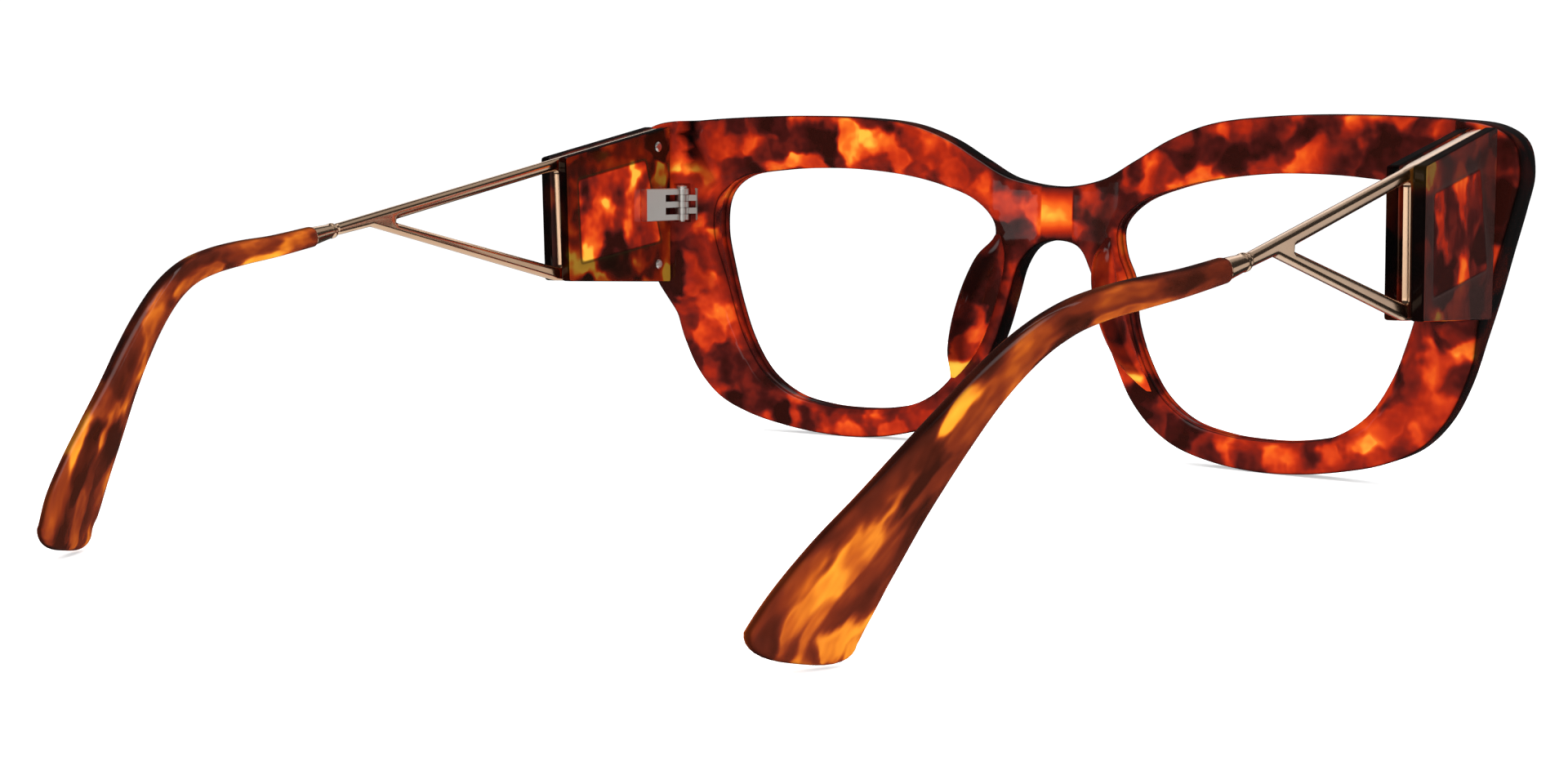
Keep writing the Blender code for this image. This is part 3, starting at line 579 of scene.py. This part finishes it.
def make_front(mat):
    half = OUTLINE_HALF[1:-1]
    whole = [OUTLINE_HALF[0]] + half + [OUTLINE_HALF[-1]] + [(-x, z) for x, z in reversed(half)]
    outline = evenly(smooth_curve(whole, 12), RING_SPACING)
    openings = [evenly(smooth_curve([(sign * x, z) for x, z in OPENING], 12), RING_SPACING)
                for sign in SIDES.values()]
    loops = [(outline, left_normals(outline))] + [(loop, -left_normals(loop)) for loop in openings]
    # (distance in from the loop, from which face, distance from it), from the back to the front
    edge = fillet(FACE_FILLET, FACE_FILLET, FRONT_ARC)
    outer_rings = [(distance, "back", below) for distance, below in edge]
    outer_rings += [(0.0, "middle", 0.33), (0.0, "middle", 0.66)]
    outer_rings += [(distance, "front", below) for distance, below in reversed(edge)]
    # each row of an opening's wall also has its painted shade: the least it is darkened, with dark painted
    # lines at the back edge, at the lens groove's lips and at the face's edge
    inner_rings = [
        (CHAMFER, "back", 0.0, 1.0), (0.88, "back", 0.04, 0.9), (0.12, "back", 0.72, 0.75),
        (0.0, "back", 0.90, 0.12), (0.0, "back", 1.2, 0.65), (0.0, "front", 3.0, 0.75),
        (0.05, "front", 2.9, 0.10), (0.55, "front", 2.4, 1.0), (0.55, "front", 2.2, 1.0),
        (0.05, "front", 1.7, 0.10), (0.0, "front", 1.5, 0.55), (0.0, "front", 0.9, 0.65)]
    edge = fillet(FRONT_FILLET, FRONT_FILLET, FRONT_ARC)
    inner_rings += [(distance, "front", below, FRONT_EDGE_PAINTED_SHADE) for distance, below in reversed(edge)]

    work = bmesh.new()
    opening = work.verts.layers.float.new("opening")

    def level(points, row):
        _, face, distance, *_ = row
        x, z = points[:, 0], points[:, 1]
        near, far = back_y(x, z), front_y(x, z)
        y = {"back": near + distance, "front": far - distance,
             "middle": near + FACE_FILLET + (far - near - 2 * FACE_FILLET) * distance}[face]
        return [work.verts.new(place(p)) for p in zip(x, y, z)]

    walls = closed_sheet(work, loops, [outer_rings, inner_rings, inner_rings], level, FACE_SPACINGS)
    for wall in walls[1:]:
        for row, (*_, tone) in zip(wall, inner_rings):
            for vert in row:
                vert[opening] = tone
    return new_object("front_acetate", work, mat)


def carve_hinge_wells(front):
    """Round wells in the end pieces, where the hinge knuckles turn."""
    low, high = HINGE_Z[0] - WELL_BELOW, HINGE_Z[1] + WELL_ABOVE
    for sign in SIDES.values():
        work = bmesh.new()
        bmesh.ops.create_cone(work, cap_ends=True, segments=32, radius1=WELL_RADIUS * MM,
                              radius2=WELL_RADIUS * MM, depth=(high - low) * MM)
        bmesh.ops.translate(work, verts=work.verts,
                            vec=place((sign * HINGE_X, HINGE_Y, (low + high) / 2)))
        cutter = new_object("well", work, front.data.materials[0])
        modifier = front.modifiers.new("well", "BOOLEAN")
        modifier.operation = "DIFFERENCE"
        modifier.solver = "EXACT"
        modifier.object = cutter
        graph = bpy.context.evaluated_depsgraph_get()
        mesh = bpy.data.meshes.new_from_object(front.evaluated_get(graph))
        front.modifiers.clear()
        front.data = mesh
        bpy.data.objects.remove(cutter, do_unlink=True)
    work = bmesh.new()
    work.from_mesh(front.data)
    tone = work.verts.layers.float["opening"]
    axes = [place((sign * HINGE_X, HINGE_Y, HINGE_Z[0])).xy for sign in SIDES.values()]
    well = {vert for vert in work.verts
            if min((vert.co.xy - axis).length for axis in axes) < WELL_RADIUS * WELL_REACH * MM}
    # the wells' walls are spared the painted wall shade
    for vert in well:
        vert[tone] = WELL_TONE
    for face in work.faces:
        face.smooth = True
    for edge in work.edges:
        edge.smooth = not (well.issuperset(edge.verts) and edge.calc_face_angle(0) > WELL_RIM_ANGLE)
    work.to_mesh(front.data)
    work.free()


# ---------------------------------------------------------------- pads and tips
def make_pad(side, sign, mat):
    """A nose pad: flat sections that stand out from the bridge's back and lean outwards."""
    stations = []
    route = [PAD_TAPERS[1], *reversed(PAD_ROUTE), PAD_TAPERS[0]]
    for x, z, reach, half_width in smooth_curve(route, 6, closed=False):
        y = FRONT_TILT * (z - TILT_HEIGHT) - FRONT_WRAP * x * x / 2
        centre = Vector((sign * (x + PAD_FLARE * reach / 2), y - BOND_GAP - reach / 2, z))
        lean = Vector((-sign * PAD_FLARE, 1, 0))
        stations.append((centre, Vector((1, 0, 0)), lean, half_width, reach / 2))
    return lofted(f"pad_{side}", stations, mat, SOFT_SIDES, SOFT_POWER)


def make_tip(side, sign, mat):
    """A temple tip: a bent bar that widens into a paddle with a rounded end."""
    start, run = ferrule_axis(sign)
    route = [(*(start + run * (FERRULE_LENGTH + BOND_GAP)), *TIP_START_SIZE)]
    route += [(sign * x, y, z, height, width) for x, y, z, height, width in TIP_ROUTE]
    points = smooth_curve(route, 8, closed=False)
    stations = []
    for i, row in enumerate(points):
        centre = Vector(row[:3])
        heading = Vector(points[min(i + 1, len(points) - 1)][:3]) - Vector(points[max(i - 1, 0)][:3])
        heading.normalize()
        across = Vector((0, 0, 1)).cross(heading).normalized()
        level = Vector((heading.x, heading.y, 0)).normalized()
        lean = TIP_SKEW * min(1.0, max(0.0, (TIP_SKEW_START - centre.z) / TIP_SKEW_START))
        up = heading.cross(across).normalized().lerp(level, lean).normalized()
        stations.append((centre, across, up, row[4], row[3]))
    centre, across, up, width, height = stations[-1]
    end_run = across.cross(up).normalized()
    narrow, thin = TIP_END_POWERS
    for turn in TIP_END_TURNS:
        share = math.cos(math.radians(turn))
        reach = TIP_END_REACH * math.sin(math.radians(turn))
        stations.append((centre + end_run * reach, across, up, width * share ** narrow,
                         height * share ** thin))
    tip = lofted(f"tip_{side}", stations, mat, SOFT_SIDES, SOFT_POWER)
    low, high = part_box(f"temple_tip_{side}")       # the end stays inside the CAD's
    for vert in tip.data.vertices:
        vert.co = [min(max(value, least), most) for value, least, most in zip(vert.co, low, high)]
    return tip


# ---------------------------------------------------------------- metal core and ferrule
CORE_ARC = (90, 72, 54, 36, 18, 0)


def core_top(y):
    """Z of the upper edge of a metal core."""
    return CORE_TOP_Z + RAIL_SLOPE * (y - TEMPLE_FRONT_Y)


def make_core(side, sign, mat):
    """Rounded bars: a sheet with two windows and well rounded edges."""
    stem_end = FERRULE_Y + BOND_GAP
    outline = [(TEMPLE_FRONT_Y, core_top(TEMPLE_FRONT_Y)), *CORE_FOOT,
               (stem_end, core_top(stem_end) - STEM_HEIGHT), (stem_end, core_top(stem_end))]
    triangle = [(TRIANGLE_TOP_Y, core_top(TRIANGLE_TOP_Y) - RAIL_HEIGHT), *TRIANGLE_FOOT]
    outline = evenly(rounded(outline, CORE_CORNER, 6), CORE_SPACING)
    holes = [evenly(rounded(corners, CORE_HOLE_CORNER, 6), CORE_SPACING)
             for corners in (CORE_WINDOW, triangle)]
    loops = [(outline, left_normals(outline))] + [(loop, -left_normals(loop)) for loop in holes]
    sections = []
    for loop, _ in loops:
        share = np.interp(loop[:, :1], CORE_CHANGE_Y, (1.0, CORE_BETWEEN_PLATES))
        along, across = (share * size for size in CORE_ROUND)
        edge = fillet(along, across, CORE_ARC)
        rows = [(distance, below - CORE_THICKNESS / 2) for distance, below in edge]
        sections.append(rows + [(distance, -x) for distance, x in reversed(rows)])
    work = bmesh.new()

    def level(points, row):
        xs = np.resize(row[1], len(points))
        return [work.verts.new(place((sign * CORE_X + x, *point))) for x, point in zip(xs, points)]

    closed_sheet(work, loops, sections, level, CORE_FACE_SPACINGS)
    return new_object(f"core_{side}", work, mat)


def ferrule_axis(sign):
    """Where a side's ferrule starts, and its direction."""
    x, y, z = FERRULE_RUN
    return (Vector((sign * CORE_X, FERRULE_Y, core_top(FERRULE_Y) - STEM_HEIGHT / 2)),
            Vector((sign * x, y, z)).normalized())


def make_ferrule(side, sign, mat):
    """The turned cone and tenon that join a core to its tip."""
    start, run = ferrule_axis(sign)
    across = Vector((0, 0, 1)).cross(run).normalized()
    stations = [(start + run * distance, across, run.cross(across), radius, radius)
                for radius, distance in FERRULE_PROFILE]
    return lofted(f"cone_{side}", stations, mat, SOFT_SIDES, 2.0)


# ---------------------------------------------------------------- build
PLATES = {                   # bias, contrast, and the painted shade and painted reflection of the metal behind the acetate
    "inner": (-0.08, 2.3, (1.0, (0.012, 0.008, 0.003))),
    "outer": (-0.24, 1.9, (0.6, (0.036, 0.019, 0.017)))}
TIPS = {"left": (0.59, -0.09), "right": (0.46, -0.02)}       # shift along the tip, and bias
NICKEL_PARTS = ("hinge_front_leaf", "hinge_temple_leaf", "hinge_screw", "plate_screw_upper",
                "plate_screw_lower")


def stand_in(piece, node, body):
    """Show a piece in place of a CAD node, moving with its body."""
    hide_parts(node)
    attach(piece, body)


def coat(node, mat):
    """Give a CAD node its only material."""
    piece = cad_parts[node]
    piece.data.materials.clear()
    piece.data.materials.append(mat)
    return piece


front = make_front(tortoise("front_tortoise", "front", TORTOISE, 4.8, shift=(0.31, 0.12, 0.07),
                            bias=-0.105, contrast=1.38, wall=0.05))
carve_hinge_wells(front)
stand_in(front, "front", "front")

rose_gold = plated("rose_gold", (0.74, 0.46, 0.29), (0.88, 0.60, 0.40), (0.15, 0.17), (400, 60, 400))
nickel = plated("nickel", (0.68, 0.64, 0.59), (0.82, 0.78, 0.73), (0.30, 0.34), (300, 300, 60))
metal = bpy.data.collections.new("metal")
for side, sign in SIDES.items():
    body = f"temple_{side}"
    pad_mat = tortoise(f"pad_{side}_tortoise", "pad", TORTOISE, 5.0, shift=(0.2 * sign, 0.4, 0.1),
                       bias=-0.13, contrast=1.3, wall=0.3)
    stand_in(make_pad(side, sign, pad_mat), f"nose_pad_{side}", "front")
    run, bias = TIPS[side]
    tip_mat = tortoise(f"tip_{side}_tortoise", "tip", AMBER, 2.8, shift=(0.1 * sign, run, 0.3), bias=bias,
                       contrast=1.35, wall=0.24, stretch=(1, 0.32, 1))
    stand_in(make_tip(side, sign, tip_mat), f"temple_tip_{side}", body)
    for layer, (bias, contrast, painted_metal_backing) in PLATES.items():
        plate_mat = tortoise(f"plate_{layer}_{side}_tortoise", "plate", TORTOISE, 6.0,
                             shift=(0.5 * sign, 0.1, 0.2), bias=bias, contrast=contrast, wall=0.06,
                             painted_metal_backing=painted_metal_backing)
        coat(f"temple_plate_{layer}_{side}", plate_mat)
    for part, made in (("temple_core", make_core), ("ferrule", make_ferrule)):
        piece = made(side, sign, rose_gold)
        stand_in(piece, f"{part}_{side}", body)
        metal.objects.link(piece)
    for part in NICKEL_PARTS:
        metal.objects.link(coat(f"{part}_{side}", nickel))

# ---------------------------------------------------------------- floor, light and camera
FLOOR_RADIUS = 0.26          # beyond it the white world carries on
SKY_BRIGHT, SKY_DARK, BACKDROP = 1.8, 0.03, 1.1
LIGHT_AIM = Vector((0, 0, 0.02))
CAMERA_AZIMUTH, CAMERA_ELEVATION, CAMERA_LENS = 34.66, 6.36, 54.81
CAMERA_PLACE = (179.0, BACK_OF_BRIDGE_Y - 333.1, 51.6)


def make_floor():
    work = bmesh.new()
    bmesh.ops.create_circle(work, cap_ends=True, segments=96, radius=FLOOR_RADIUS)
    mesh = bpy.data.meshes.new("floor")
    work.to_mesh(mesh)
    work.free()
    floor = bpy.data.objects.new("floor", mesh)
    bpy.context.scene.collection.objects.link(floor)
    mat, look, shader = new_material("floor_white")
    look.feed(shader, {
        "Base Color": (0.9, 0.9, 0.9, 1), "Emission Color": (1, 1, 1, 1), "Emission Strength": 0.5,
        "Roughness": 0.9, "Specular IOR Level": 0.1})
    mesh.materials.append(mat)
    floor.visible_glossy = False
    return floor


def softbox(name, position, width, height, radiance, mirrored=True, only=None):
    """A rectangular light aimed at the frame. One that isn't mirrored gives fill without a highlight,
    and one that is for some pieces only lights nothing else."""
    light = bpy.data.lights.new(name, "AREA")
    light.shape = "RECTANGLE"
    light.size = width
    light.size_y = height
    light.energy = radiance * math.pi * width * height
    thing = bpy.data.objects.new(name, light)
    thing.location = position
    thing.rotation_mode = "QUATERNION"
    thing.rotation_quaternion = (LIGHT_AIM - Vector(position)).to_track_quat("-Z", "Y")
    thing.visible_glossy = mirrored
    thing.visible_camera = False
    bpy.context.scene.collection.objects.link(thing)
    if only:
        thing.light_linking.receiver_collection = only


def make_world():
    """White behind the frame, lit by a bright dome overhead; reflections see a smaller dome."""
    world = bpy.data.worlds.new("studio")
    look = Look(world)
    height = look.axes(look.coordinates["Generated"])["Z"]
    path = look.node("ShaderNodeLightPath").outputs
    start, full = (look.remap(path["Is Glossy Ray"], 0, 1, edge) for edge in ((0.25, 0.94), (0.75, 1.0)))
    dome = look.remap(height, start, full, (SKY_DARK, SKY_BRIGHT), smooth=True)
    strength = look.mix(path["Is Camera Ray"], dome, BACKDROP)
    look.feed(look.tree.nodes["Background"], {"Color": (1, 1, 1, 1), "Strength": strength})
    bpy.context.scene.world = world


def make_camera():
    azimuth, elevation = math.radians(CAMERA_AZIMUTH), math.radians(CAMERA_ELEVATION)
    back = Vector((math.sin(azimuth) * math.cos(elevation), -math.cos(azimuth) * math.cos(elevation),
                   math.sin(elevation)))
    right = (-back).cross(Vector((0, 0, 1))).normalized()
    turn = Matrix((right, right.cross(-back), back)).transposed().to_4x4()
    turn.translation = Vector(CAMERA_PLACE) * MM
    camera = bpy.data.objects.new("camera", bpy.data.cameras.new("camera"))
    camera.matrix_world = turn
    camera.data.sensor_width = 36
    camera.data.lens = CAMERA_LENS
    camera.data.clip_start = 0.01
    bpy.context.scene.collection.objects.link(camera)
    bpy.context.scene.camera = camera


make_floor()
softbox("overhead", (0.0, 0.05, 0.75), 0.60, 0.50, 1.75, mirrored=False)
softbox("gloss_strip", (0.0, 0.25, 0.70), 0.70, 0.05, 1.5)
softbox("left_strip", (-0.70, -0.15, 0.40), 0.08, 0.5, 0.12)
softbox("bridge_left", (-0.190, -0.75, 0.038), 0.07, 0.06, 1.5)
softbox("bridge_right", (-0.710, -0.75, 0.038), 0.08, 0.06, 0.9)
softbox("metal_high", (-0.35, 0.75, 0.45), 1.30, 0.28, 1.0, only=metal)
softbox("metal_low", (0.57, 0.75, 0.0), 0.56, 0.30, 0.55, only=metal)
softbox("metal_upper", (0.25, 0.62, 0.70), 0.90, 0.45, 0.32, only=metal)
softbox("metal_rear", (-0.43, -0.75, 0.0), 0.60, 0.30, 1.2, only=metal)
softbox("metal_side", (0.52, -0.70, 0.12), 0.90, 0.50, 0.9, only=metal)
softbox("metal_right", (0.85, 0.02, 0.08), 0.45, 0.55, 0.9, only=metal)
softbox("metal_left", (-0.85, 0.02, 0.08), 0.45, 0.55, 0.9, only=metal)
softbox("metal_under", (0.0, 0.0, -0.35), 1.40, 1.20, 0.75, only=metal)
softbox("fill_rear", (0.45, -0.75, 0.35), 0.7, 0.7, 1.95, mirrored=False)
softbox("fill_front", (-0.35, 0.80, 0.35), 0.7, 0.7, 1.95, mirrored=False)
make_world()
make_camera()
bpy.context.scene.view_settings.view_transform = "Standard"
